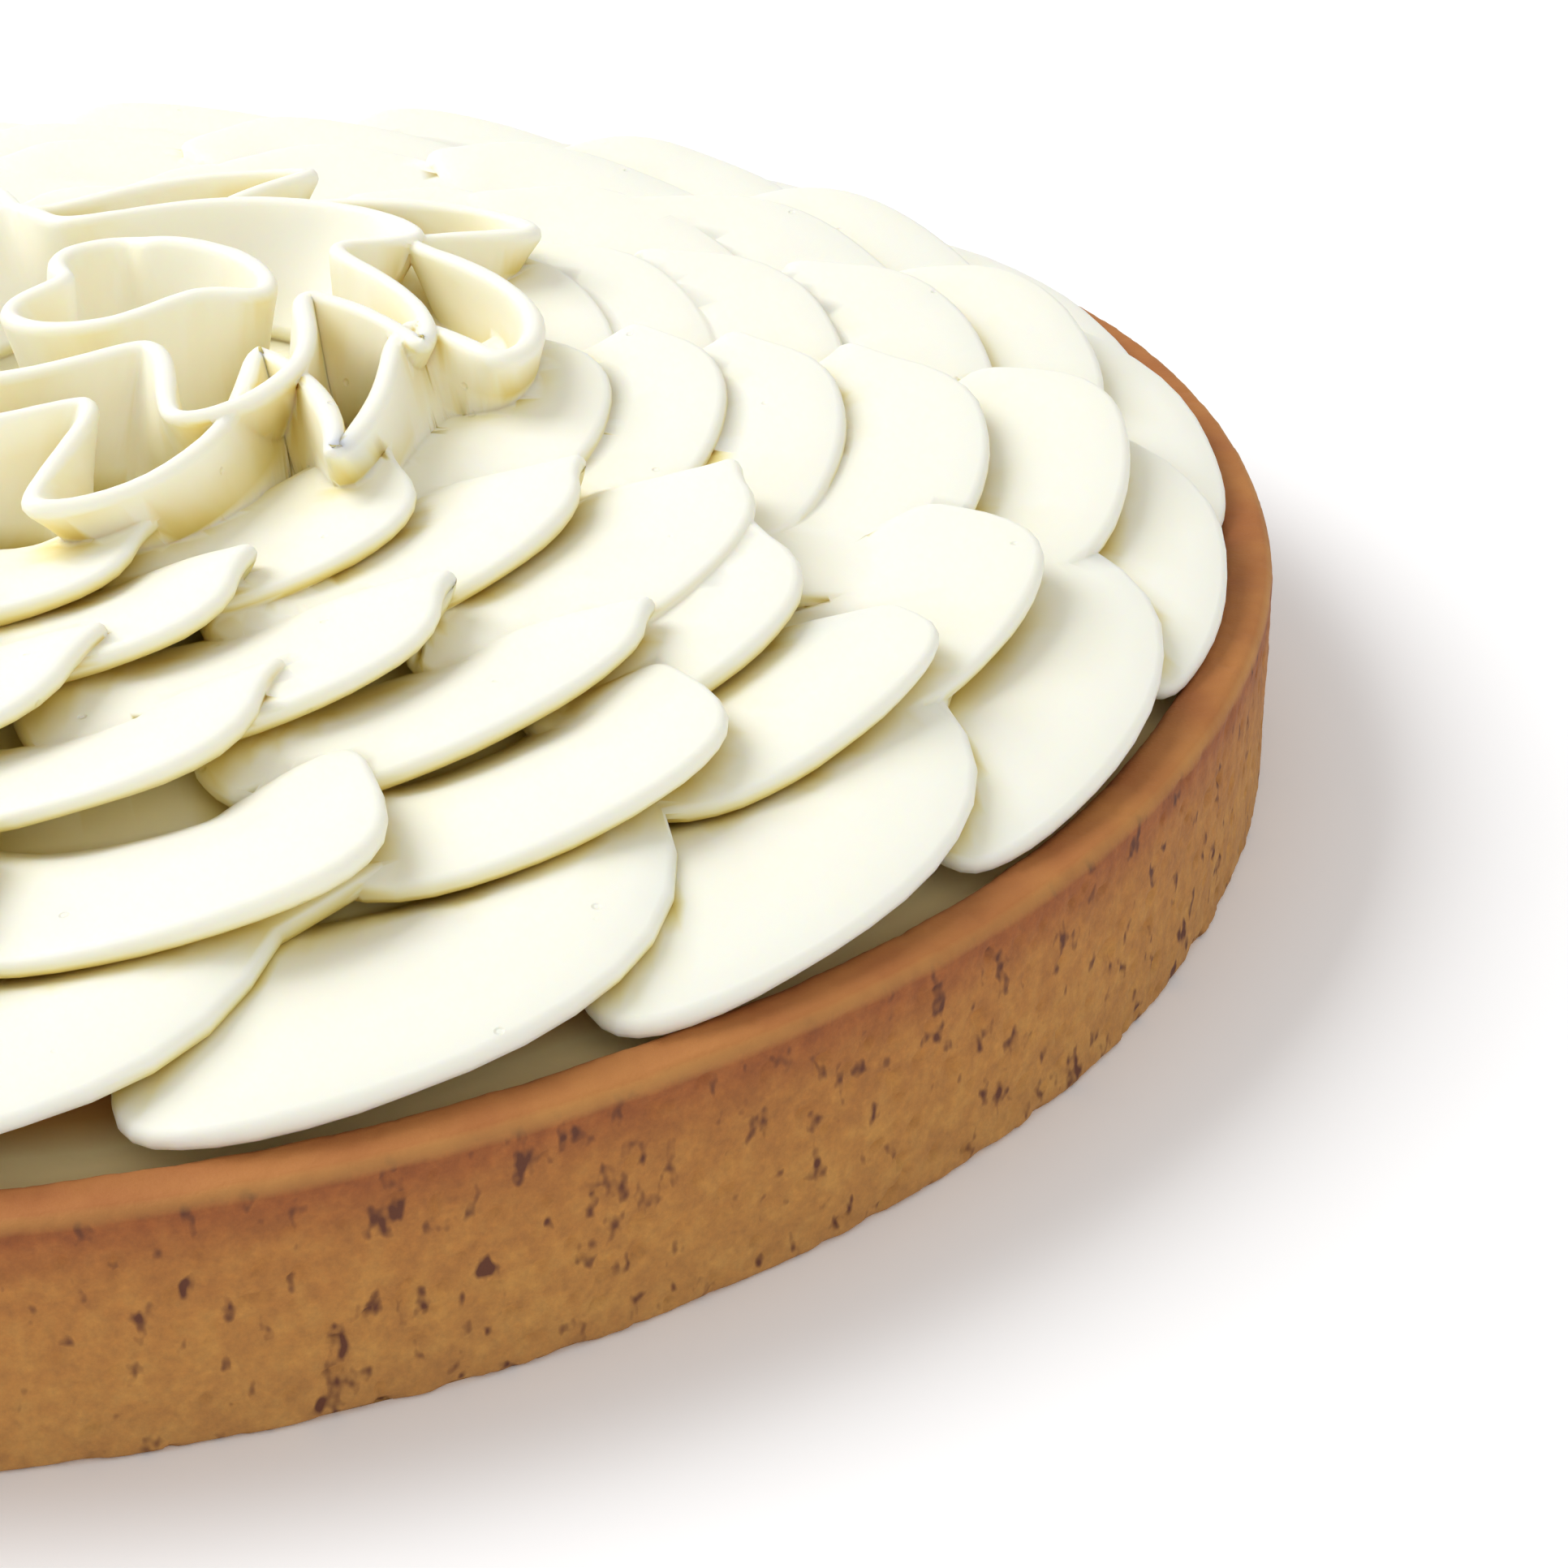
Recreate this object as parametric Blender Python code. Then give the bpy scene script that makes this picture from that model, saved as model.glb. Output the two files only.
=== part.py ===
# Lemon tart, 22 cm: a shortcrust shell filled with lemon cream, under rings of piped cream petals
# round a ruffled rosette, with two flakes of gold leaf. Sizes in millimetres, built in metres.
import math
import random

import bmesh
import bpy
import numpy as np
from mathutils import Vector
from mathutils.bvhtree import BVHTree

MM = 0.001
SEED = 27

# Crust: a straight tart ring, its wall and floor
CRUST_RADIUS = 110.0
CRUST_HEIGHT = 19.6
WALL = 4.6
FLOOR = 4.5
RIM_ROUND = 1.1
FOOT_ROUND = 0.7
CRUST_STEPS = 90
CRUST_WAVE = 0.22

# Filling: fills the shell to a little below its rim
GAP = 0.3
FILLING_TOP = 17.5
FILLING_STEPS = 72

# Cream: the mound under the petals, as radius and height from its middle to its edge
MOUND = ((0.0, 28.2), (22.0, 28.0), (36.0, 27.4), (48.0, 26.4), (60.0, 25.8), (72.0, 24.4), (84.0, 21.8), (93.0, 17.8))
MOUND_STEPS = 40
CREAM_FLOOR = FILLING_TOP + GAP

# Rings of petals, from the rim inwards. base and edge: radius and height where the ribbon starts and of its
# free edge. sweep: how far a crest leans over the next petal. lift: half the height of the waves. bow: how
# far the petal bulges upwards. twist: how many degrees of a wave the widest point comes early. tuck: how far
# the hidden fold goes in. fold: how late the waves grow towards the edge. round: small for broad, square
# petals. petals: azimuth of each crest in degrees, radius of its tip and of the bulge before it. more and
# far: how many petals follow evenly on the far side, and their radii.
RINGS = (
    {"base": (84.0, 19.0), "edge_z": 22.6, "sweep": 19.0, "lift": 2.3, "bow": 2.3,
     "twist": 45.0, "tuck": 0.25, "fold": 1.5, "round": 0.7, "more": 12, "far": (93.5, 105.6),
     "petals": ((-97.0, 90.0, 105.6), (-77.0, 89.0, 105.6), (-57.5, 88.0, 106.0), (-41.5, 94.0, 106.4),
                (-22.5, 95.0, 106.0), (-6.5, 95.0, 106.0), (13.0, 95.0, 105.6), (31.0, 94.0, 105.6))},
    {"base": (73.0, 22.0), "edge_z": 26.4, "sweep": 11.0, "lift": 2.5, "bow": 1.6,
     "twist": -10.0, "tuck": 0.4, "fold": 1.5, "round": 0.7, "more": 12, "far": (85.0, 95.5),
     "petals": ((-96.0, 80.0, 91.0), (-76.0, 78.0, 90.5), (-57.0, 79.5, 90.0), (-44.0, 87.0, 93.0),
                (-31.0, 84.0, 94.0), (-10.0, 87.0, 97.0), (8.5, 87.0, 97.0), (27.0, 86.0, 96.0))},
    {"base": (61.0, 24.4), "edge_z": 28.8, "sweep": 10.5, "lift": 2.5, "bow": 1.4,
     "twist": 15.0, "tuck": 0.4, "fold": 1.5, "round": 0.7, "more": 10, "far": (73.0, 84.0),
     "petals": ((-100.0, 66.0, 76.0), (-77.0, 66.0, 75.0), (-54.0, 74.0, 78.0), (-40.5, 73.0, 82.0),
                (-9.5, 76.0, 85.5), (9.0, 77.0, 86.0), (29.0, 74.0, 85.0))},
    {"base": (50.0, 26.0), "edge_z": 30.2, "sweep": 9.5, "lift": 2.4, "bow": 1.2,
     "twist": 15.0, "tuck": 0.4, "fold": 1.5, "round": 0.7, "more": 8, "far": (62.0, 72.0),
     "petals": ((-88.0, 58.0, 68.0), (-62.0, 62.0, 69.0), (-35.0, 68.0, 73.0), (-8.5, 65.0, 72.0),
                (14.0, 64.0, 73.0), (38.0, 62.0, 72.0))},
    {"base": (40.0, 27.0), "edge_z": 31.0, "sweep": 9.0, "lift": 2.3, "bow": 1.0,
     "twist": 15.0, "tuck": 0.4, "fold": 1.5, "round": 0.7, "more": 7, "far": (52.0, 61.0),
     "petals": ((-98.0, 50.0, 57.0), (-73.0, 50.0, 58.0), (-40.0, 56.0, 60.0), (-7.0, 56.0, 62.0),
                (20.0, 54.0, 61.0), (47.0, 53.0, 61.0))},
    {"base": (31.0, 27.6), "edge_z": 31.6, "sweep": 8.0, "lift": 2.0, "bow": 0.9,
     "twist": 15.0, "tuck": 0.4, "fold": 1.5, "round": 0.7, "more": 5, "far": (43.0, 51.0),
     "petals": ((-110.0, 41.0, 49.0), (-79.0, 41.0, 49.0), (-47.0, 42.0, 51.0), (-8.0, 45.0, 52.5),
                (24.0, 44.0, 52.0), (56.0, 43.0, 51.0))},
)
RING_THICK = (3.4, 1.7)
PETAL_STEPS = 24
RIBBON_LEVELS = 8
LIP_STEPS = 3

# Rosette: ruffled ribbons that stand round a point beside the tart's middle
ROSETTE_AT = (10.0, 2.0)
ROSETTE = (
    {"base": (32.0, 26.6), "edge_z": 37.6, "sweep": 7.0, "lift": 0.5, "bow": 0.0,
     "twist": 90.0, "tuck": 1.0, "fold": 0.9, "round": 2.0, "more": 4, "far": (31.0, 39.0),
     "petals": ((-104.0, 35.0, 44.0), (-62.0, 32.0, 44.0), (-34.0, 32.0, 37.0), (14.0, 33.0, 39.0))},
    {"base": (20.0, 27.0), "edge_z": 38.8, "sweep": 6.0, "lift": 0.5, "bow": 0.0,
     "twist": 90.0, "tuck": 1.0, "fold": 0.9, "round": 2.0, "more": 2, "far": (22.0, 28.0),
     "petals": ((-92.0, 24.0, 31.0), (-32.0, 24.0, 31.0), (8.0, 24.0, 29.0))},
    {"base": (8.0, 27.0), "edge_z": 39.6, "sweep": 2.0, "lift": 0.4, "bow": 0.0,
     "twist": 90.0, "tuck": 1.0, "fold": 0.9, "round": 2.0, "more": 1, "far": (9.0, 10.5),
     "petals": ((-60.0, 11.5, 14.0), (60.0, 9.5, 10.5))},
)
ROSETTE_THICK = (4.2, 1.8)

# Skin of the fused cream: voxel size, and the share of its faces that the outer surface keeps
SKIN = 0.7
SKIN_TRIANGLES = 11200

# Gold leaf: where each flake lies, its length, width, thickness and turn
FLAKES = ((58.0, -77.0, 7.0, 4.3, 0.5, 65.0), (59.0, 8.0, 4.0, 2.6, 0.5, 20.0))


def clear_scene():
    for thing in list(bpy.data.objects):
        bpy.data.objects.remove(thing, do_unlink=True)


def material(name, colour, roughness):
    made = bpy.data.materials.new(name)
    made.use_nodes = True
    shader = made.node_tree.nodes["Principled BSDF"]
    shader.inputs["Base Color"].default_value = (*colour, 1.0)
    shader.inputs["Roughness"].default_value = roughness
    return made


def mesh_object(name, points, faces, surface=None):
    """One object from points in millimetres."""
    mesh = bpy.data.meshes.new(name)
    mesh.from_pydata([tuple(float(c) * MM for c in p) for p in points], [], faces)
    thing = bpy.data.objects.new(name, mesh)
    bpy.context.collection.objects.link(thing)
    if surface:
        mesh.materials.append(surface)
    mesh.shade_smooth()
    return thing


def lathe(name, profile, steps, surface=None, wave=None):
    """A solid turned about Z from a profile of radius and height that starts and ends on the axis."""
    inner = profile[1:-1]
    points = [(0.0, 0.0, profile[0][1]), (0.0, 0.0, profile[-1][1])]
    for i in range(steps):
        turn = math.tau * i / steps
        for r, z in inner:
            dr, dz = wave(turn, r, z) if wave else (0.0, 0.0)
            points.append(((r + dr) * math.cos(turn), (r + dr) * math.sin(turn), z + dz))
    faces = []
    rows = len(inner)
    for i in range(steps):
        here, there = 2 + i * rows, 2 + (i + 1) % steps * rows
        faces.append((0, here, there))
        faces.append((1, there + rows - 1, here + rows - 1))
        for j in range(rows - 1):
            faces.append((here + j, here + j + 1, there + j + 1, there + j))
    made = mesh_object(name, points, faces, surface)
    face_out(made)
    return made


def face_out(thing):
    """Turns the faces outwards where they enclose a negative volume."""
    mesh = bmesh.new()
    mesh.from_mesh(thing.data)
    if mesh.calc_volume(signed=True) < 0:
        bmesh.ops.reverse_faces(mesh, faces=mesh.faces)
    mesh.to_mesh(thing.data)
    mesh.free()


def arc(centre, radius, start, end, steps):
    """Points along a round corner, angles in degrees."""
    turns = [math.radians(start + (end - start) * i / steps) for i in range(steps + 1)]
    return [(centre[0] + radius * math.cos(a), centre[1] + radius * math.sin(a)) for a in turns]


def crust_wave(turn, r, z):
    """Hand-lined pastry: the rim and the wall wander a little."""
    if r < CRUST_RADIUS - WALL - 0.5:
        return 0.0, 0.0
    side = CRUST_WAVE * (math.sin(3 * turn + 0.4) + 0.7 * math.sin(7 * turn + 2.0) + 0.5 * math.sin(12 * turn))
    rise = CRUST_WAVE * (math.sin(2 * turn + 1.1) + 0.8 * math.sin(9 * turn + 0.3)) if z > FLOOR + 2.0 else 0.0
    return 0.5 * side, 0.8 * rise


def build_crust():
    inner = CRUST_RADIUS - WALL
    outline = [(0.0, 0.0)]
    outline += arc((CRUST_RADIUS - FOOT_ROUND, FOOT_ROUND), FOOT_ROUND, -90, 0, 2)
    outline += [(CRUST_RADIUS, CRUST_HEIGHT * 0.5)]
    outline += arc((CRUST_RADIUS - RIM_ROUND, CRUST_HEIGHT - RIM_ROUND), RIM_ROUND, 0, 90, 3)
    outline += arc((inner + RIM_ROUND, CRUST_HEIGHT - RIM_ROUND), RIM_ROUND, 90, 180, 2)
    outline += [(inner, FLOOR), (0.0, FLOOR)]
    baked = material("crust_baked", (0.36, 0.18, 0.065), 0.8)
    return lathe("crust", outline, CRUST_STEPS, baked, crust_wave)


def build_filling():
    radius = CRUST_RADIUS - WALL - GAP - CRUST_WAVE * 1.2
    low = FLOOR + GAP
    outline = [(0.0, low), (radius, low), (radius, FILLING_TOP + 0.5), (radius - 1.6, FILLING_TOP), (0.0, FILLING_TOP)]
    lemon = material("filling_lemon", (0.62, 0.42, 0.16), 0.5)
    return lathe("filling", outline, FILLING_STEPS, lemon)


def round_table(ring, chance):
    """The ring's crests all the way round: azimuth in radians, tip radius and bulge radius."""
    seen = list(ring["petals"])
    first, last = seen[0][0], seen[-1][0]
    step = (first + 360.0 - last) / (ring["more"] + 1)
    tip, bulge = ring["far"]
    for i in range(ring["more"]):
        at = last + step * (i + 1 + chance.uniform(-0.14, 0.14))
        seen.append((at, tip + chance.uniform(-2.0, 2.0), bulge + chance.uniform(-1.2, 0.6)))
    table = np.array(seen)
    table[:, 0] = np.radians(table[:, 0])
    return table


def between(values, s, turn=0.0):
    """A smooth closed curve through values at whole numbers of s; turn is what one round adds."""
    count = len(values)
    whole = np.floor(s).astype(int)
    f = s - whole
    four = [values[(whole + k) % count] + turn * ((whole + k) // count) for k in (-1, 0, 1, 2)]
    a, b, c, d = four
    return b + 0.5 * f * (c - a + f * (2 * a - 5 * b + 4 * c - d + f * (3 * (b - c) + d - a)))


def ribbon_middle(ring, table, s, t):
    """Middle surface of a ring's ribbon: s counts petals, t runs from the base to the free edge."""
    s, t = np.broadcast_arrays(s, t)
    theta = math.tau * s
    tip = between(table[:, 1], s)
    bulge = between(table[:, 2], s)
    sweep = ring["sweep"] / (0.5 * (tip + bulge))
    base_r, base_z = ring["base"]
    wave = t ** ring["fold"]
    turn = between(table[:, 0], s, math.tau) - sweep + wave * sweep * np.cos(theta)
    out = -np.sin(theta + math.radians(ring["twist"]))
    out = out * math.sqrt(1.0 + ring["round"] ** 2) / np.sqrt(out ** 2 + ring["round"] ** 2)
    reach = np.where(out > 0, out, ring["tuck"] * out)
    r = base_r + (tip - base_r) * t + wave * (bulge - tip) * reach
    z = base_z + (ring["edge_z"] - base_z) * t + ring["bow"] * np.sin(math.pi * t) + wave * ring["lift"] * np.cos(theta)
    return np.stack([r * np.cos(turn), r * np.sin(turn), z], axis=-1)


def ribbon_normal(ring, table, s, t):
    step = 1e-3
    along = ribbon_middle(ring, table, s + step, t) - ribbon_middle(ring, table, s - step, t)
    out = ribbon_middle(ring, table, s, t + step) - ribbon_middle(ring, table, s, np.maximum(t - step, 0.0))
    up = np.cross(out, along)
    up /= np.linalg.norm(up, axis=-1, keepdims=True)
    out /= np.linalg.norm(out, axis=-1, keepdims=True)
    return up, out


def ribbon(name, ring, table, thick, centre=(0.0, 0.0)):
    """A closed ruffled band: its two faces, a rounded free edge and a closed foot."""
    count = len(table) * PETAL_STEPS
    s = (np.arange(count) / PETAL_STEPS)[:, None]
    t = np.linspace(0.0, 1.0, RIBBON_LEVELS + 1)[None, :]
    middle = ribbon_middle(ring, table, s, t)
    up, out = ribbon_normal(ring, table, s, t)
    half = 0.5 * (thick[0] + (thick[1] - thick[0]) * t)[..., None]
    top, below = middle + half * up, middle - half * up
    bend = np.pi * (np.arange(1, LIP_STEPS + 1) / (LIP_STEPS + 1))
    edge = [middle[:, -1] + half[:, -1] * (np.cos(a) * up[:, -1] + np.sin(a) * out[:, -1]) for a in bend]
    rows = np.concatenate([top, np.stack(edge, axis=1), below[:, ::-1]], axis=1)
    around = rows.shape[1]
    rows[..., 0] += centre[0]
    rows[..., 1] += centre[1]
    faces = []
    for i in range(count):
        for j in range(around):
            k, m = (i + 1) % count, (j + 1) % around
            faces.append((i * around + j, i * around + m, k * around + m, k * around + j))
    made = mesh_object(name, rows.reshape(-1, 3), faces)
    face_out(made)
    return made


def flake(name, x, y, length, width, thick, turn, tree):
    """A crumpled leaf flake that sinks half its thickness into what it lies on."""
    hit = tree.ray_cast(Vector((x * MM, y * MM, 0.1)), Vector((0.0, 0.0, -1.0)))
    normal = hit[1]
    side = Vector((math.cos(math.radians(turn)), math.sin(math.radians(turn)), 0.0))
    across = normal.cross(side).normalized()
    side = across.cross(normal).normalized()
    cols, rows = 5, 4
    outer, inner = [], []
    for j in range(rows):
        for i in range(cols):
            u, v = i / (cols - 1) - 0.5, j / (rows - 1) - 0.5
            ragged = 1.0 - 0.35 * abs(v) * (1 + math.sin(9 * u))
            at = hit[0] / MM + side * (u * length * ragged) + across * (v * width * (1.0 - 0.5 * u))
            rise = 0.25 * math.sin(7 * u + 3 * v)
            outer.append(at + normal * (0.5 * thick + 0.3 + rise))
            inner.append(at - normal * thick)
    faces = []
    shift = rows * cols
    for j in range(rows - 1):
        for i in range(cols - 1):
            a = j * cols + i
            faces.append((a, a + 1, a + cols + 1))
            faces.append((a, a + cols + 1, a + cols))
            faces.append((shift + a, shift + a + cols, shift + a + cols + 1))
            faces.append((shift + a, shift + a + cols + 1, shift + a + 1))
    border = list(range(cols)) + [j * cols + cols - 1 for j in range(1, rows)]
    border += [(rows - 1) * cols + i for i in range(cols - 2, -1, -1)] + [j * cols for j in range(rows - 2, 0, -1)]
    for a, b in zip(border, border[1:] + border[:1]):
        faces.append((a, shift + a, shift + b, b))
    made = mesh_object(name, outer + inner, faces)
    face_out(made)
    return made


def unite(first, others):
    """One Boolean union of the whole collection, with the pieces then removed."""
    group = bpy.data.collections.new("pieces")
    bpy.context.scene.collection.children.link(group)
    for thing in others:
        group.objects.link(thing)
        bpy.context.collection.objects.unlink(thing)
    joined = first.modifiers.new("union", "BOOLEAN")
    joined.operation = "UNION"
    joined.solver = "MANIFOLD"
    joined.operand_type = "COLLECTION"
    joined.collection = group
    bake(first)
    for thing in others:
        bpy.data.objects.remove(thing, do_unlink=True)
    bpy.data.collections.remove(group)


def keep_largest(thing):
    """Drops loose scraps, and the sealed hollows that the union leaves between the petals."""
    mesh = bmesh.new()
    mesh.from_mesh(thing.data)
    left, shells = set(mesh.faces), []
    while left:
        shell, edge = [], [left.pop()]
        while edge:
            face = edge.pop()
            shell.append(face)
            for link in face.edges:
                for other in link.link_faces:
                    if other in left:
                        left.remove(other)
                        edge.append(other)
        shells.append(shell)
    shells.sort(key=len)
    bmesh.ops.delete(mesh, geom=[face for shell in shells[:-1] for face in shell], context="FACES")
    mesh.to_mesh(thing.data)
    mesh.free()


def skin(thing, voxel, triangles):
    """Turns the fused ribbons into one even surface, then thins its faces to the number asked for."""
    remesh = thing.modifiers.new("skin", "REMESH")
    remesh.mode = "VOXEL"
    remesh.voxel_size = voxel * MM
    bake(thing)
    keep_largest(thing)
    thin = thing.modifiers.new("thin", "DECIMATE")
    thin.ratio = triangles / (2 * len(thing.data.polygons))
    bake(thing)


def bake(thing):
    """Applies the modifiers that a piece has."""
    graph = bpy.context.evaluated_depsgraph_get()
    mesh = bpy.data.meshes.new_from_object(thing.evaluated_get(graph))
    thing.modifiers.clear()
    thing.data = mesh


def build_cream():
    chance = random.Random(SEED)
    profile = [(0.0, CREAM_FLOOR), (MOUND[-1][0] + 0.4, CREAM_FLOOR)] + list(reversed(MOUND))
    cream = lathe("piped_cream", profile, MOUND_STEPS)
    pieces = []
    for i, ring in enumerate(RINGS):
        table = round_table(ring, chance)
        pieces.append(ribbon(f"ring_{i}", ring, table, RING_THICK))
    for i, ring in enumerate(ROSETTE):
        table = round_table(ring, chance)
        pieces.append(ribbon(f"rosette_{i}", ring, table, ROSETTE_THICK, ROSETTE_AT))
    unite(cream, pieces)
    skin(cream, SKIN, SKIN_TRIANGLES)
    tree = BVHTree.FromObject(cream, bpy.context.evaluated_depsgraph_get())
    unite(cream, [flake(f"flake_{i}", *spot, tree) for i, spot in enumerate(FLAKES)])
    cream.data.materials.clear()
    cream.data.materials.append(material("cream_piped", (0.86, 0.82, 0.66), 0.45))
    cream.data.shade_smooth()
    return cream


clear_scene()
build_crust()
build_filling()
build_cream()
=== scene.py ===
import math
import random

import bmesh
import bpy
import numpy as np
from mathutils import Matrix, Vector, noise
from mathutils.bvhtree import BVHTree


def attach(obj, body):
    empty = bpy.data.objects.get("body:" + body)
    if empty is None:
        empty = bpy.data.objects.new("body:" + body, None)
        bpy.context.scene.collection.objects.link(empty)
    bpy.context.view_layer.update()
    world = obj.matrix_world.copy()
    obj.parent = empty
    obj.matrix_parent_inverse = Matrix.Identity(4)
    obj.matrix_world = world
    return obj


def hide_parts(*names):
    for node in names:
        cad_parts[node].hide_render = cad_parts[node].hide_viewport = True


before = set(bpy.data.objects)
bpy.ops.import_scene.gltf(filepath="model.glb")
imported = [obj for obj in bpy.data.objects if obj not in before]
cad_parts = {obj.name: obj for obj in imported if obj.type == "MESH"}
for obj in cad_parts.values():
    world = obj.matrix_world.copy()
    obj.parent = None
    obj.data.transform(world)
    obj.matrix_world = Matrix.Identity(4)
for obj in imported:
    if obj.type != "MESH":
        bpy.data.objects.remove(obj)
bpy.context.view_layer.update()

# Lemon tart: baked shortcrust shell, lemon cream, rings of piped cream petals and a ruffled rosette.
mm = 0.001  # every length below is in millimetres unless it says otherwise


def hexColour(text, alpha=1.0):  # sRGB hex to the linear colour that shaders take
    parts = [int(text[i:i + 2], 16) / 255 for i in (1, 3, 5)]
    return tuple(c / 12.92 if c <= 0.04045 else ((c + 0.055) / 1.055) ** 2.4 for c in parts) + (alpha,)


def addNode(tree, kind, inputs=None, **settings):  # one node, its settings, then its values and links
    node = tree.nodes.new(kind)
    for key, value in settings.items():
        setattr(node, key, value)
    for key, value in (inputs or {}).items():
        if isinstance(value, bpy.types.NodeSocket):
            tree.links.new(value, node.inputs[key])
        else:
            node.inputs[key].default_value = value
    return node


def addRamp(tree, factor, stops, smooth="LINEAR"):
    node = addNode(tree, "ShaderNodeValToRGB", {"Fac": factor})
    ramp = node.color_ramp
    ramp.interpolation = smooth
    for i, (place, colour) in enumerate(stops):
        stop = ramp.elements[i] if i < 2 else ramp.elements.new(place)
        stop.position = place
        stop.color = colour
    return node.outputs["Color"]


def addNoise(tree, place, size, detail, roughness=0.5):  # size in millimetres
    inputs = {"Vector": place, "Scale": 1 / (size * mm), "Detail": detail, "Roughness": roughness}
    return addNode(tree, "ShaderNodeTexNoise", inputs).outputs["Fac"]


def addRadius(tree, place):  # distance from the tart's axis
    flat = addNode(tree, "ShaderNodeVectorMath", {0: place, 1: (1.0, 1.0, 0.0)}, operation="MULTIPLY")
    return addNode(tree, "ShaderNodeVectorMath", {0: flat.outputs[0]}, operation="LENGTH").outputs["Value"]


def newMaterial(name):
    made = bpy.data.materials.new(name)
    made.use_nodes = True
    return made, made.node_tree, made.node_tree.nodes["Principled BSDF"]


def newObject(name, points, faces, surface=None):  # points come in millimetres
    mesh = bpy.data.meshes.new(name)
    mesh.from_pydata((np.asarray(points, dtype=float) * mm).tolist(), [], faces)
    made = bpy.data.objects.new(name, mesh)
    bpy.context.scene.collection.objects.link(made)
    if surface:
        mesh.materials.append(surface)
    mesh.shade_smooth()
    return made


def dressNode(piece, node):  # the piece stands for a CAD node and rides with the tart
    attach(piece, "root")
    if node:
        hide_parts(node)


# Camera, as fitted to the rim's ellipse and the wall in the photograph: angles in degrees
view = {
    "distance": 279.2, "height": 137.1, "right": 13.80, "down": 28.37, "roll": -0.61,
    "focal": 74.94, "sensor": 36.0,
}


def placeCamera():
    right, down, roll = (math.radians(view[key]) for key in ("right", "down", "roll"))
    ahead = Vector((math.sin(right) * math.cos(down), math.cos(right) * math.cos(down), -math.sin(down)))
    side = ahead.cross(Vector((0, 0, 1))).normalized()
    up = side.cross(ahead)
    side, up = side * math.cos(roll) + up * math.sin(roll), up * math.cos(roll) - side * math.sin(roll)
    lens = bpy.data.cameras.new("camera")
    lens.lens = view["focal"]
    lens.sensor_width = view["sensor"]
    lens.clip_start = 0.01
    camera = bpy.data.objects.new("camera", lens)
    camera.matrix_world = Matrix((side, up, -ahead)).transposed().to_4x4()
    camera.location = (0.0, -view["distance"] * mm, view["height"] * mm)
    bpy.context.scene.collection.objects.link(camera)
    bpy.context.scene.camera = camera


placeCamera()
print("camera placed")

# Crust: shortcrust lined by hand into a straight ring, 22 cm across and 2 cm high
crust = {
    "radius": 110.0, "height": 19.6, "wall": 4.6, "floor": 4.5, "rimRound": 1.1, "footRound": 0.7,
    "around": 1360, "wallRows": 34, "rimRows": 5,
    "innerDrops": (1.2, 2.6),  # two rows on the inner wall, below its rounded top
    "wander": 0.22,  # slow waves of the rim and wall, the same as in the solid
    "wanderSide": 0.5, "wanderRise": 0.8,
    "grain": 0.10, "grainSize": 0.9, "lumps": 0.16, "lumpSize": 4.5,
    "pit": 0.42, "pitSize": 1.5, "pitSquash": 1.3, "pitFrom": 0.34, "pitSlope": 0.3,
    "footWear": 0.70, "footReach": 1.6, "footSize": 3.0,
    "rimPits": 0.35, "rimGrain": 0.8, "innerGrain": 0.5,  # share of the relief that stays off the wall
}


def arcPoints(x, z, radius, start, end, steps):
    turns = np.radians(np.linspace(start, end, steps + 1))
    return [(x + radius * math.cos(a), z + radius * math.sin(a)) for a in turns]


def crustProfile():  # from the middle of the underside, up the wall, over the rim and down to the floor
    c = crust
    inner = c["radius"] - c["wall"]
    points = [(0.0, 0.0), (c["radius"] * 0.5, 0.0), (c["radius"] - 4.0, 0.0)]
    points += arcPoints(c["radius"] - c["footRound"], c["footRound"], c["footRound"], -90, 0, 4)
    low, high = c["footRound"], c["height"] - c["rimRound"]
    points += [(c["radius"], low + (high - low) * (i + 1) / c["wallRows"]) for i in range(c["wallRows"] - 1)]
    points += arcPoints(c["radius"] - c["rimRound"], high, c["rimRound"], 0, 90, c["rimRows"])
    flat = c["wall"] - 2 * c["rimRound"]
    steps = c["rimRows"]
    points += [(c["radius"] - c["rimRound"] - flat * (i + 1) / steps, c["height"]) for i in range(steps - 1)]
    points += arcPoints(inner + c["rimRound"], high, c["rimRound"], 90, 180, 4)
    points += [(inner, high - drop) for drop in c["innerDrops"]]
    points += [(inner, c["floor"]), (inner * 0.5, c["floor"]), (0.0, c["floor"])]
    return points


def crustRelief(point, outward):  # how far the sandy surface stands out of the smooth wall at a point
    c = crust
    lump = noise.noise(point / c["lumpSize"])
    grain = noise.noise(point / c["grainSize"] + Vector((7.0, 0.0, 3.0)))
    squashed = Vector((point.x, point.y, point.z * c["pitSquash"]))
    spot = noise.noise(squashed / c["pitSize"] + Vector((0.0, 31.0, 0.0)))
    pit = min(max(0.0, spot - c["pitFrom"]) / c["pitSlope"], 1.0)
    worn = max(0.0, noise.noise(point / c["footSize"] + Vector((5.0, 5.0, 0.0))))
    foot = max(0.0, 1.0 - point.z / c["footReach"]) * worn
    return c["lumps"] * lump + c["grain"] * grain - c["pit"] * pit * outward - c["footWear"] * foot


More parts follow.
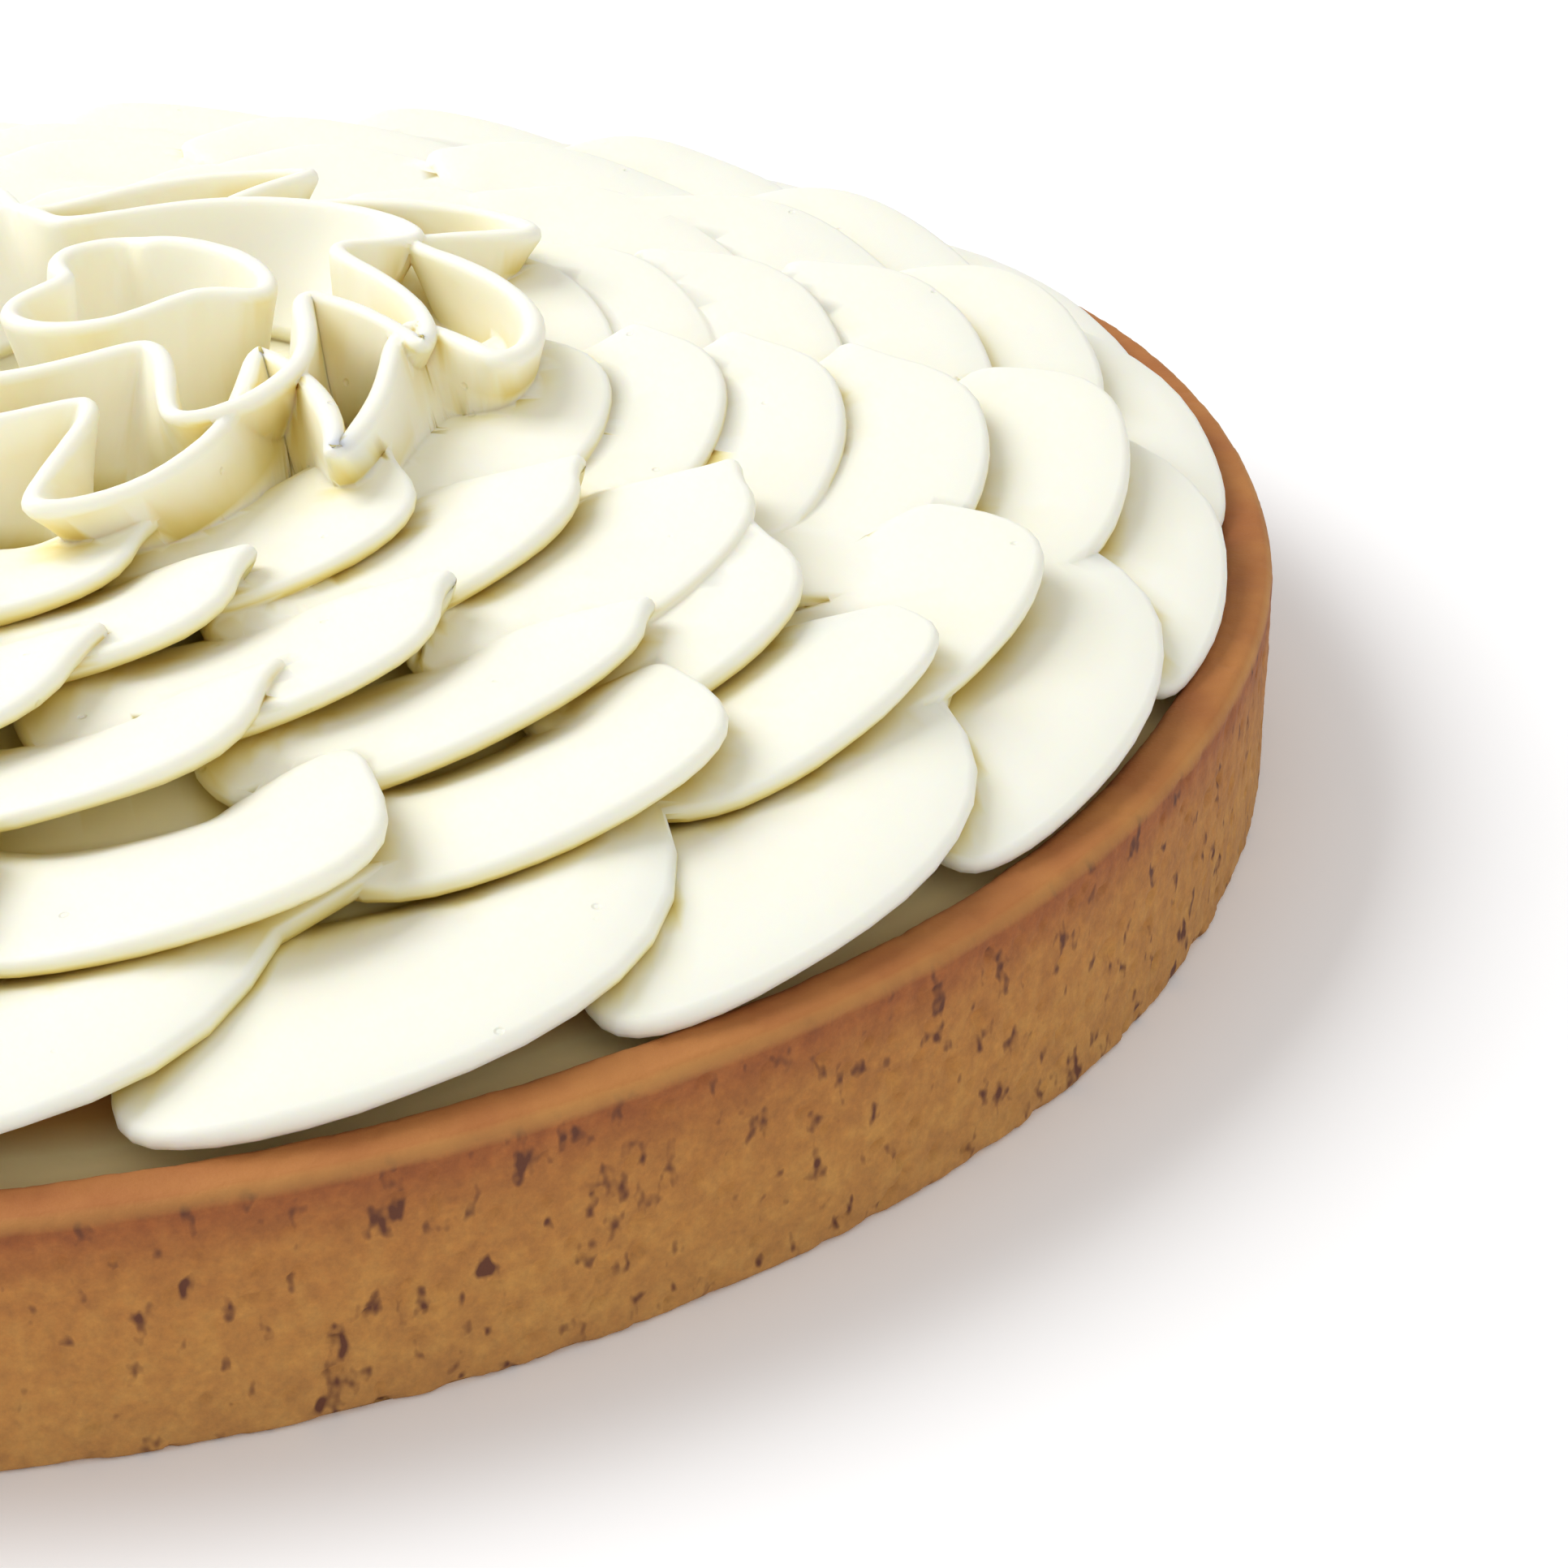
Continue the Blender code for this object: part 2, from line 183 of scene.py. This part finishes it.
def buildCrust(surface):
    c = crust
    profile = crustProfile()
    rows = profile[1:-1]
    points = [(0.0, 0.0, 0.0), (0.0, 0.0, c["floor"])]
    inner = c["radius"] - c["wall"]
    for i in range(c["around"]):
        turn = math.tau * i / c["around"]
        cos, sin = math.cos(turn), math.sin(turn)
        sideWaves = math.sin(3 * turn + 0.4) + 0.7 * math.sin(7 * turn + 2.0) + 0.5 * math.sin(12 * turn)
        riseWaves = math.sin(2 * turn + 1.1) + 0.8 * math.sin(9 * turn + 0.3)
        side, rise = c["wander"] * sideWaves, c["wander"] * riseWaves
        for r, z in rows:
            seen = r > inner - 0.5
            if seen:
                r += c["wanderSide"] * side
                z += c["wanderRise"] * rise if z > c["floor"] + 2.0 else 0.0
            if seen and z > 0.02:
                onWall = r > c["radius"] - 0.6 and z < c["height"] - 1.5
                stand = crustRelief(Vector((r * cos, r * sin, z)), 1.0 if onWall else c["rimPits"])
                if z > c["height"] - 1.0:
                    z += c["rimGrain"] * stand
                elif r > c["radius"] - 2.0:
                    r += stand
                else:
                    r -= c["innerGrain"] * stand
            points.append((r * cos, r * sin, z))
    faces = []
    count = len(rows)
    for i in range(c["around"]):
        here, there = 2 + i * count, 2 + (i + 1) % c["around"] * count
        faces.append((0, there, here))
        faces.append((1, here + count - 1, there + count - 1))
        for j in range(count - 1):
            faces.append((here + j, there + j, there + j + 1, here + j + 1))
    return newObject("tartShell", points, faces, surface)


def bakedShortcrust():  # baked sweet pastry: sandy and matt, browned at the rim, with dark sugar spots
    made, tree, shader = newMaterial("shortcrustBakedSandy")
    place = addNode(tree, "ShaderNodeTexCoord").outputs["Object"]
    split = addNode(tree, "ShaderNodeSeparateXYZ", {"Vector": place})
    radius = addRadius(tree, place)
    height = addNode(tree, "ShaderNodeMapRange", {
        "Value": split.outputs["Z"], "From Min": 0.0, "From Max": crust["height"] * mm}).outputs[0]
    cloud = addNoise(tree, place, 9, 3.0)
    mottle = addNoise(tree, place, 2.2, 4.0, 0.6)
    grain = addNoise(tree, place, 0.7, 4.0, 0.7)

    # wall: darker just under the rim, paler and yellower lower down
    wall = addRamp(tree, height, [
        (0.0, hexColour("#b08a55")), (1.0, hexColour("#8a5630")), (0.35, hexColour("#b2884f")),
        (0.72, hexColour("#a87a45")), (0.9, hexColour("#955f36"))])
    blotch = addRamp(tree, mottle, [
        (0.36, hexColour("#a37d52")), (0.66, hexColour("#e8d3a6")), (0.5, hexColour("#c9a877"))])
    body = addNode(tree, "ShaderNodeMix", {
        "Factor": 0.42, "A": wall, "B": blotch}, data_type="RGBA", blend_type="SOFT_LIGHT")
    sand = addRamp(tree, grain, [(0.32, hexColour("#8f6f4c")), (0.7, hexColour("#d9bd8c"))])
    sandy = addNode(tree, "ShaderNodeMix", {
        "Factor": 0.30, "A": body.outputs["Result"], "B": sand}, data_type="RGBA", blend_type="OVERLAY")

    # dark red-brown spots of caramelised sugar, about 1 mm, a little taller than wide
    tall = addNode(tree, "ShaderNodeVectorMath", {0: place, 1: (1.0, 1.0, 0.62)}, operation="MULTIPLY")
    spots = addNoise(tree, tall.outputs[0], 1.9, 2.0, 0.55)
    spotMask = addRamp(tree, spots, [(0.60, (0, 0, 0, 1)), (0.70, (1, 1, 1, 1))])
    spotty = addNode(tree, "ShaderNodeMix", {
        "Factor": spotMask, "A": sandy.outputs["Result"], "B": hexColour("#5f3420")}, data_type="RGBA")

    # rim: an orange-brown band with a thin golden outer lip, and a redder inner edge darkened with painted
    # shade under the overhanging cream
    rimTone = addRamp(tree, cloud, [(0.35, hexColour("#a2602c")), (0.65, hexColour("#bd803f"))])
    innerEdge = crust["radius"] - crust["wall"] - 0.5
    across = addNode(tree, "ShaderNodeMapRange", {
        "Value": radius, "From Min": innerEdge * mm, "From Max": crust["radius"] * mm})
    band = addRamp(tree, across.outputs[0], [
        # the dark red stop at the inner edge is painted shade
        (0.0, hexColour("#7a3f1e")), (1.0, hexColour("#d9a860")),
        (0.22, hexColour("#9c5b2b")), (0.86, hexColour("#b0713a"))])
    rim = addNode(tree, "ShaderNodeMix", {"Factor": 0.5, "A": band, "B": rimTone}, data_type="RGBA")
    onRim = addRamp(tree, height, [(0.93, (0, 0, 0, 1)), (0.985, (1, 1, 1, 1))])
    colour = addNode(tree, "ShaderNodeMix", {
        "Factor": onRim, "A": spotty.outputs["Result"], "B": rim.outputs["Result"]}, data_type="RGBA")
    tree.links.new(colour.outputs["Result"], shader.inputs["Base Color"])
    shader.inputs["Roughness"].default_value = 0.78
    shader.inputs["IOR"].default_value = 1.45
    fine = addNoise(tree, place, 0.45, 3.0, 0.6)
    bump = addNode(tree, "ShaderNodeBump", {"Height": fine, "Strength": 0.55, "Distance": 0.12 * mm})
    tree.links.new(bump.outputs["Normal"], shader.inputs["Normal"])
    return made


tartShell = buildCrust(bakedShortcrust())
dressNode(tartShell, "crust")
print("crust built:", len(tartShell.data.polygons), "faces")

# Filling: lemon cream that sets a little under the rim, seen in a pale strip and through the gaps
filling = {
    "top": 17.5, "radius": 105.2, "gap": 0.3, "around": 300, "rings": 40,
    "crowd": 1.6,  # how much closer the rings lie near the wall
    "meniscus": 0.7, "meniscusReach": 2.0, "ripple": 0.16, "rippleSize": 5.0,
}


def buildFilling(surface):
    f = filling
    low = crust["floor"] + f["gap"]
    reach = f["meniscusReach"]
    radii = [f["radius"] * (1 - (1 - (i + 1) / f["rings"]) ** f["crowd"]) for i in range(f["rings"])]
    points = [(0.0, 0.0, f["top"]), (0.0, 0.0, low)]
    for i in range(f["around"]):
        turn = math.tau * i / f["around"]
        cos, sin = math.cos(turn), math.sin(turn)
        for r in radii:
            climb = f["meniscus"] * max(0.0, (r - f["radius"] + reach) / reach) ** 2
            wave = f["ripple"] * noise.noise(Vector((r * cos, r * sin, 0.0)) / f["rippleSize"])
            points.append((r * cos, r * sin, f["top"] + climb + wave))
        points.append((f["radius"] * cos, f["radius"] * sin, low))
    count = len(radii) + 1
    faces = []
    for i in range(f["around"]):
        here, there = 2 + i * count, 2 + (i + 1) % f["around"] * count
        faces.append((0, here, there))
        faces.append((1, there + count - 1, here + count - 1))
        for j in range(count - 1):
            faces.append((here + j, here + j + 1, there + j + 1, there + j))
    return newObject("lemonFilling", points, faces, surface)


def setLemonCream():  # baked lemon cream: smooth and moist, pale beside the rim, orange-brown further in
    made, tree, shader = newMaterial("lemonCreamSetSmooth")
    place = addNode(tree, "ShaderNodeTexCoord").outputs["Object"]
    across = addNode(tree, "ShaderNodeMapRange", {
        "Value": addRadius(tree, place), "From Min": 90 * mm, "From Max": 105 * mm})
    tone = addRamp(tree, across.outputs[0], [
        (0.0, hexColour("#b5652c")), (1.0, hexColour("#d6bd8a")),
        (0.45, hexColour("#c99a5a")), (0.7, hexColour("#e3d2a0"))])
    tree.links.new(tone, shader.inputs["Base Color"])
    shader.inputs["Roughness"].default_value = 0.38
    shader.inputs["IOR"].default_value = 1.42
    shader.inputs["Subsurface Weight"].default_value = 0.25
    shader.inputs["Subsurface Radius"].default_value = (1.0, 0.6, 0.25)
    shader.inputs["Subsurface Scale"].default_value = 2.0 * mm
    skin = addNoise(tree, place, 3, 3.0)
    bump = addNode(tree, "ShaderNodeBump", {"Height": skin, "Strength": 0.4, "Distance": 0.2 * mm})
    tree.links.new(bump.outputs["Normal"], shader.inputs["Normal"])
    return made


lemonFilling = buildFilling(setLemonCream())
dressNode(lemonFilling, "filling")
print("filling built")

# Piped cream. Each ring is one ruffled band: base and edge give where it starts and ends, sweep how far a
# crest leans over the next petal, lift half the height of its waves, bow how far the petals bulge up, twist
# how early the widest point comes, tuck the hidden fold, fold how late the waves grow, round the petals'
# squareness. petals holds azimuth, tip radius and bulge radius of each crest, more and far the other side.
cream = {
    "seed": 27, "floor": 17.8, "petalSteps": 40, "topLevels": 10, "underLevels": 4, "lipSteps": 5,
    "ringThick": (3.4, 1.7), "rosetteThick": (4.2, 1.8), "rosetteAt": (10.0, 2.0),
    "farTurn": 0.14, "farTip": (-2.0, 2.0), "farBulge": (-1.2, 0.6),  # how unlike its neighbours a far petal is
    "mound": ((0.0, 28.2), (22.0, 28.0), (36.0, 27.4), (48.0, 26.4),
              (60.0, 25.8), (72.0, 24.4), (84.0, 21.8), (93.0, 17.8)),
    "moundFoot": 0.4, "moundSteps": 120,
    "rings": (
        {"base": (84.0, 19.0), "edge": 22.6, "sweep": 19.0, "lift": 2.3, "bow": 2.3,
         "twist": 45.0, "tuck": 0.25, "fold": 1.5, "round": 0.7, "more": 12, "far": (93.5, 105.6),
         "petals": ((-97.0, 90.0, 105.6), (-77.0, 89.0, 105.6), (-57.5, 88.0, 106.0), (-41.5, 94.0, 106.4),
                    (-22.5, 95.0, 106.0), (-6.5, 95.0, 106.0), (13.0, 95.0, 105.6), (31.0, 94.0, 105.6))},
        {"base": (73.0, 22.0), "edge": 26.4, "sweep": 11.0, "lift": 2.5, "bow": 1.6,
         "twist": -10.0, "tuck": 0.4, "fold": 1.5, "round": 0.7, "more": 12, "far": (85.0, 95.5),
         "petals": ((-96.0, 80.0, 91.0), (-76.0, 78.0, 90.5), (-57.0, 79.5, 90.0), (-44.0, 87.0, 93.0),
                    (-31.0, 84.0, 94.0), (-10.0, 87.0, 97.0), (8.5, 87.0, 97.0), (27.0, 86.0, 96.0))},
        {"base": (61.0, 24.4), "edge": 28.8, "sweep": 10.5, "lift": 2.5, "bow": 1.4,
         "twist": 15.0, "tuck": 0.4, "fold": 1.5, "round": 0.7, "more": 10, "far": (73.0, 84.0),
         "petals": ((-100.0, 66.0, 76.0), (-77.0, 66.0, 75.0), (-54.0, 74.0, 78.0), (-40.5, 73.0, 82.0),
                    (-9.5, 76.0, 85.5), (9.0, 77.0, 86.0), (29.0, 74.0, 85.0))},
        {"base": (50.0, 26.0), "edge": 30.2, "sweep": 9.5, "lift": 2.4, "bow": 1.2,
         "twist": 15.0, "tuck": 0.4, "fold": 1.5, "round": 0.7, "more": 8, "far": (62.0, 72.0),
         "petals": ((-88.0, 58.0, 68.0), (-62.0, 62.0, 69.0), (-35.0, 68.0, 73.0), (-8.5, 65.0, 72.0),
                    (14.0, 64.0, 73.0), (38.0, 62.0, 72.0))},
        {"base": (40.0, 27.0), "edge": 31.0, "sweep": 9.0, "lift": 2.3, "bow": 1.0,
         "twist": 15.0, "tuck": 0.4, "fold": 1.5, "round": 0.7, "more": 7, "far": (52.0, 61.0),
         "petals": ((-98.0, 50.0, 57.0), (-73.0, 50.0, 58.0), (-40.0, 56.0, 60.0), (-7.0, 56.0, 62.0),
                    (20.0, 54.0, 61.0), (47.0, 53.0, 61.0))},
        {"base": (31.0, 27.6), "edge": 31.6, "sweep": 8.0, "lift": 2.0, "bow": 0.9,
         "twist": 15.0, "tuck": 0.4, "fold": 1.5, "round": 0.7, "more": 5, "far": (43.0, 51.0),
         "petals": ((-110.0, 41.0, 49.0), (-79.0, 41.0, 49.0), (-47.0, 42.0, 51.0), (-8.0, 45.0, 52.5),
                    (24.0, 44.0, 52.0), (56.0, 43.0, 51.0))},
    ),
    "rosette": (
        {"base": (32.0, 26.6), "edge": 37.6, "sweep": 7.0, "lift": 0.5, "bow": 0.0,
         "twist": 90.0, "tuck": 1.0, "fold": 0.9, "round": 2.0, "more": 4, "far": (31.0, 39.0),
         "petals": ((-104.0, 35.0, 44.0), (-62.0, 32.0, 44.0), (-34.0, 32.0, 37.0), (14.0, 33.0, 39.0))},
        {"base": (20.0, 27.0), "edge": 38.8, "sweep": 6.0, "lift": 0.5, "bow": 0.0,
         "twist": 90.0, "tuck": 1.0, "fold": 0.9, "round": 2.0, "more": 2, "far": (22.0, 28.0),
         "petals": ((-92.0, 24.0, 31.0), (-32.0, 24.0, 31.0), (8.0, 24.0, 29.0))},
        {"base": (8.0, 27.0), "edge": 39.6, "sweep": 2.0, "lift": 0.4, "bow": 0.0,
         "twist": 90.0, "tuck": 1.0, "fold": 0.9, "round": 2.0, "more": 1, "far": (9.0, 10.5),
         "petals": ((-60.0, 11.5, 14.0), (60.0, 9.5, 10.5))},
    ),
    "ripple": 0.22, "rippleSize": 11.0, "tremble": 0.05, "trembleSize": 2.4,
    # rays that measure how closed in the cream is, for the shade painted into its folds
    "creviceReach": 9.0, "creviceRays": 10, "creviceSeed": 5,
    "creviceLift": 0.15,  # rays start this far off the surface
    "creviceFade": 0.6,  # how much less a far hit counts than a near one
    "creviceTilt": 0.15,  # rays flatter than this are left out
}


def ringCrests(ring, chance):  # the petals named above, then evenly spread ones round the far side
    seen = list(ring["petals"])
    step = (seen[0][0] + 360.0 - seen[-1][0]) / (ring["more"] + 1)
    last = seen[-1][0]
    tip, bulge = ring["far"]
    for i in range(ring["more"]):
        at = last + step * (i + 1 + chance.uniform(-cream["farTurn"], cream["farTurn"]))
        seen.append((at, tip + chance.uniform(*cream["farTip"]), bulge + chance.uniform(*cream["farBulge"])))
    table = np.array(seen)
    table[:, 0] = np.radians(table[:, 0])
    return table


def closedCurve(values, s, turn=0.0):  # smooth through values at whole s; turn is what one round adds
    count = len(values)
    whole = np.floor(s).astype(int)
    f = s - whole
    a, b, c, d = [values[(whole + k) % count] + turn * ((whole + k) // count) for k in (-1, 0, 1, 2)]
    return b + 0.5 * f * (c - a + f * (2 * a - 5 * b + 4 * c - d + f * (3 * (b - c) + d - a)))


def bandMiddle(ring, crests, s, t):  # s counts petals round the ring, t runs from base to free edge
    s, t = np.broadcast_arrays(s, t)
    theta = math.tau * s
    tip, bulge = closedCurve(crests[:, 1], s), closedCurve(crests[:, 2], s)
    sweep = ring["sweep"] / (0.5 * (tip + bulge))
    baseRadius, baseHeight = ring["base"]
    wave = t ** ring["fold"]
    turn = closedCurve(crests[:, 0], s, math.tau) - sweep + wave * sweep * np.cos(theta)
    out = -np.sin(theta + math.radians(ring["twist"]))
    out = out * math.sqrt(1.0 + ring["round"] ** 2) / np.sqrt(out ** 2 + ring["round"] ** 2)
    reach = np.where(out > 0, out, ring["tuck"] * out)
    r = baseRadius + (tip - baseRadius) * t + wave * (bulge - tip) * reach
    z = baseHeight + (ring["edge"] - baseHeight) * t + ring["bow"] * np.sin(math.pi * t)
    z = z + wave * ring["lift"] * np.cos(theta)
    return np.stack([r * np.cos(turn), r * np.sin(turn), z], axis=-1)


def bandSides(ring, crests, s, t):  # unit vectors up out of the band and out over its edge
    step = 1e-3
    along = bandMiddle(ring, crests, s + step, t) - bandMiddle(ring, crests, s - step, t)
    out = bandMiddle(ring, crests, s, t + step) - bandMiddle(ring, crests, s, np.maximum(t - step, 0.0))
    up = np.cross(out, along)
    return up / np.linalg.norm(up, axis=-1, keepdims=True), out / np.linalg.norm(out, axis=-1, keepdims=True)


def pipeBand(name, ring, crests, thick, centre=(0.0, 0.0)):
    count = len(crests) * cream["petalSteps"]
    s = (np.arange(count) / cream["petalSteps"])[:, None]

    def face(levels, side):
        t = np.linspace(0.0, 1.0, levels + 1)[None, :]
        up, out = bandSides(ring, crests, s, t)
        half = 0.5 * (thick[0] + (thick[1] - thick[0]) * t)[..., None]
        return bandMiddle(ring, crests, s, t) + side * half * up, up[:, -1], out[:, -1], half[:, -1]

    top, up, out, half = face(cream["topLevels"], 1.0)
    under = face(cream["underLevels"], -1.0)[0]
    bend = np.pi * np.arange(1, cream["lipSteps"] + 1) / (cream["lipSteps"] + 1)
    middle = top[:, -1] - half * up
    lip = np.stack([middle + half * (math.cos(a) * up + math.sin(a) * out) for a in bend], axis=1)
    rows = np.concatenate([top, lip, under[:, ::-1]], axis=1)
    rows[..., 0] += centre[0]
    rows[..., 1] += centre[1]
    around = rows.shape[1]
    faces = []
    for i in range(count):
        k = (i + 1) % count
        for j in range(around):
            m = (j + 1) % around
            faces.append((i * around + j, i * around + m, k * around + m, k * around + j))
    made = newObject(name, rows.reshape(-1, 3), faces)
    faceOut(made)
    return made


def faceOut(piece):
    mesh = bmesh.new()
    mesh.from_mesh(piece.data)
    if mesh.calc_volume(signed=True) < 0:
        bmesh.ops.reverse_faces(mesh, faces=mesh.faces)
    mesh.to_mesh(piece.data)
    mesh.free()


def buildMound():
    rows = [(cream["mound"][-1][0] + cream["moundFoot"], cream["floor"])] + list(reversed(cream["mound"][1:]))
    points = [(0.0, 0.0, cream["floor"]), (0.0, 0.0, cream["mound"][0][1])]
    steps, count = cream["moundSteps"], len(rows)
    for i in range(steps):
        turn = math.tau * i / steps
        points += [(r * math.cos(turn), r * math.sin(turn), z) for r, z in rows]
    faces = []
    for i in range(steps):
        here, there = 2 + i * count, 2 + (i + 1) % steps * count
        faces.append((0, there, here))
        faces.append((1, here + count - 1, there + count - 1))
        faces += [(here + j, there + j, there + j + 1, here + j + 1) for j in range(count - 1)]
    made = newObject("pipedCream", points, faces)
    faceOut(made)
    return made


def fuse(first, others):  # one union of all, then the bands are taken out of the scene
    group = bpy.data.collections.new("bands")
    bpy.context.scene.collection.children.link(group)
    for piece in others:
        group.objects.link(piece)
        bpy.context.scene.collection.objects.unlink(piece)
    union = first.modifiers.new("fuse", "BOOLEAN")
    union.operation, union.solver = "UNION", "MANIFOLD"
    union.operand_type, union.collection = "COLLECTION", group
    graph = bpy.context.evaluated_depsgraph_get()
    mesh = bpy.data.meshes.new_from_object(first.evaluated_get(graph))
    first.modifiers.clear()
    first.data = mesh
    for piece in others:
        bpy.data.objects.remove(piece, do_unlink=True)
    bpy.data.collections.remove(group)


def keepOuterShell(piece):  # loose scraps and closed hollows between the bands go
    mesh = bmesh.new()
    mesh.from_mesh(piece.data)
    left, shells = set(mesh.faces), []
    while left:
        shell, edge = [], [left.pop()]
        while edge:
            face = edge.pop()
            shell.append(face)
            for link in face.edges:
                for other in link.link_faces:
                    if other in left:
                        left.remove(other)
                        edge.append(other)
        shells.append(shell)
    shells.sort(key=len)
    bmesh.ops.delete(mesh, geom=[face for shell in shells[:-1] for face in shell], context="FACES")
    bmesh.ops.triangulate(mesh, faces=[face for face in mesh.faces if len(face.verts) > 4])
    mesh.to_mesh(piece.data)
    mesh.free()


def handPiped(piece):  # slow ripples and a slight tremble of the hand that held the bag
    mesh = piece.data
    for vert, normal in zip(mesh.vertices, [v.normal.copy() for v in mesh.vertices]):
        at = vert.co / mm
        if at.z < cream["floor"] + 0.2:
            continue
        slow = noise.noise(at / cream["rippleSize"])
        quick = noise.noise(at / cream["trembleSize"] + Vector((0, 0, 9)))
        vert.co += normal * ((cream["ripple"] * slow + cream["tremble"] * quick) * mm)


def shadeCrevices(piece):  # how closed in each point is, kept as an attribute that paints shade into the cream's colour
    mesh = piece.data
    tree = BVHTree.FromObject(piece, bpy.context.evaluated_depsgraph_get())
    chance = random.Random(cream["creviceSeed"])
    rays = []
    while len(rays) < cream["creviceRays"]:
        ray = Vector([chance.gauss(0, 1) for _ in range(3)]).normalized()
        if ray.z > cream["creviceTilt"]:
            rays.append(ray)
    reach = cream["creviceReach"] * mm
    closed = np.zeros(len(mesh.vertices), dtype=np.float32)
    upward = Vector((0, 0, 1))
    for i, vert in enumerate(mesh.vertices):
        normal = vert.normal
        start = vert.co + normal * (cream["creviceLift"] * mm)
        turn = upward.rotation_difference(normal)
        total = 0.0
        for ray in rays:
            hit = tree.ray_cast(start, turn @ ray, reach)[3]
            if hit is not None:
                total += 1.0 - cream["creviceFade"] * hit / reach
        closed[i] = total / len(rays)
    layer = mesh.attributes.new("creviceShade", "FLOAT", "POINT")
    layer.data.foreach_set("value", closed)


def pipedCreamFinish():  # whipped ivory cream: satin, light soaks in, folds get a painted yellow shade, thin lips a painted white edge
    made, tree, shader = newMaterial("creamWhippedPiped")
    place = addNode(tree, "ShaderNodeTexCoord").outputs["Object"]
    creviceShade = addNode(tree, "ShaderNodeAttribute", attribute_name="creviceShade").outputs["Fac"]
    # painted shade and light: closed-in points turn yellow as shade, open points such as the thin lips turn
    # whiter as lit edges
    tone = addRamp(tree, creviceShade, [
        (0.0, hexColour("#f6f4e6")), (1.0, hexColour("#d8bb55")), (0.22, hexColour("#f3efd8")),
        (0.45, hexColour("#eee5b8")), (0.7, hexColour("#e6d58a"))])
    tree.links.new(tone, shader.inputs["Base Color"])
    shader.inputs["Roughness"].default_value = 0.46
    shader.inputs["IOR"].default_value = 1.45
    shader.inputs["Specular IOR Level"].default_value = 0.4
    shader.inputs["Subsurface Weight"].default_value = 0.6
    shader.inputs["Subsurface Radius"].default_value = (1.0, 0.8, 0.45)
    shader.inputs["Subsurface Scale"].default_value = 2.2 * mm
    drag = addNoise(tree, place, 2.6, 2.0, 0.4)
    bump = addNode(tree, "ShaderNodeBump", {"Height": drag, "Strength": 0.25, "Distance": 0.15 * mm})
    bubbles = addNode(tree, "ShaderNodeTexVoronoi", {
        "Vector": place, "Scale": 1 / (6.5 * mm), "Randomness": 1.0})
    hole = addRamp(tree, bubbles.outputs["Distance"], [(0.035, (0, 0, 0, 1)), (0.06, (1, 1, 1, 1))])
    pit = addNode(tree, "ShaderNodeBump", {
        "Height": hole, "Strength": 0.6, "Distance": 0.25 * mm, "Normal": bump.outputs["Normal"]})
    tree.links.new(pit.outputs["Normal"], shader.inputs["Normal"])
    return made


def buildCream():
    chance = random.Random(cream["seed"])
    mound = buildMound()
    bands = []
    for i, ring in enumerate(cream["rings"]):
        bands.append(pipeBand(f"ring{i}", ring, ringCrests(ring, chance), cream["ringThick"]))
    for i, ring in enumerate(cream["rosette"]):
        crests = ringCrests(ring, chance)
        bands.append(pipeBand(f"rosette{i}", ring, crests, cream["rosetteThick"], cream["rosetteAt"]))
    print("bands piped:", sum(len(band.data.polygons) for band in bands), "faces")
    fuse(mound, bands)
    keepOuterShell(mound)
    handPiped(mound)
    shadeCrevices(mound)
    mound.data.materials.clear()
    mound.data.materials.append(pipedCreamFinish())
    mound.data.shade_smooth()
    return mound


pipedCream = buildCream()
dressNode(pipedCream, "piped_cream")
print("cream piped:", len(pipedCream.data.polygons), "faces")

# Studio: white floor, one large soft light from the back left, a weak fill from the front right. Each light
# has its place and size in millimetres and its power in watts.
studio = {
    "floorColour": "#ffffff", "floorHalf": 4000.0, "sky": 0.62,
    "lights": {
        "keyBackLeft": ((-500, 350, 700), 600, 7.0),
        "fillFront": ((250, -900, 500), 700, 1.5),
    },
}


def buildStudio():
    floorMade, tree, shader = newMaterial("studioPaperMatt")
    shader.inputs["Base Color"].default_value = hexColour(studio["floorColour"])
    shader.inputs["Roughness"].default_value = 0.9
    shader.inputs["Specular IOR Level"].default_value = 0.1
    half = studio["floorHalf"]
    corners = [(-half, -half, 0), (half, -half, 0), (half, half, 0), (-half, half, 0)]
    floor = newObject("studioFloor", corners, [(0, 1, 2, 3)], floorMade)
    sky = bpy.data.worlds.new("studioSky")
    sky.use_nodes = True
    sky.node_tree.nodes["Background"].inputs["Color"].default_value = hexColour("#ffffff")
    sky.node_tree.nodes["Background"].inputs["Strength"].default_value = studio["sky"]
    bpy.context.scene.world = sky
    bpy.context.scene.view_settings.view_transform = "Standard"


def softLight(name, place, size, power):
    lamp = bpy.data.lights.new(name, "AREA")
    lamp.size = size * mm
    lamp.energy = power
    made = bpy.data.objects.new(name, lamp)
    made.location = Vector(place) * mm
    made.rotation_euler = (-made.location).to_track_quat("-Z", "Y").to_euler()
    bpy.context.scene.collection.objects.link(made)


buildStudio()
for lightName, (lightPlace, lightSize, lightPower) in studio["lights"].items():
    softLight(lightName, lightPlace, lightSize, lightPower)
print("studio lit")
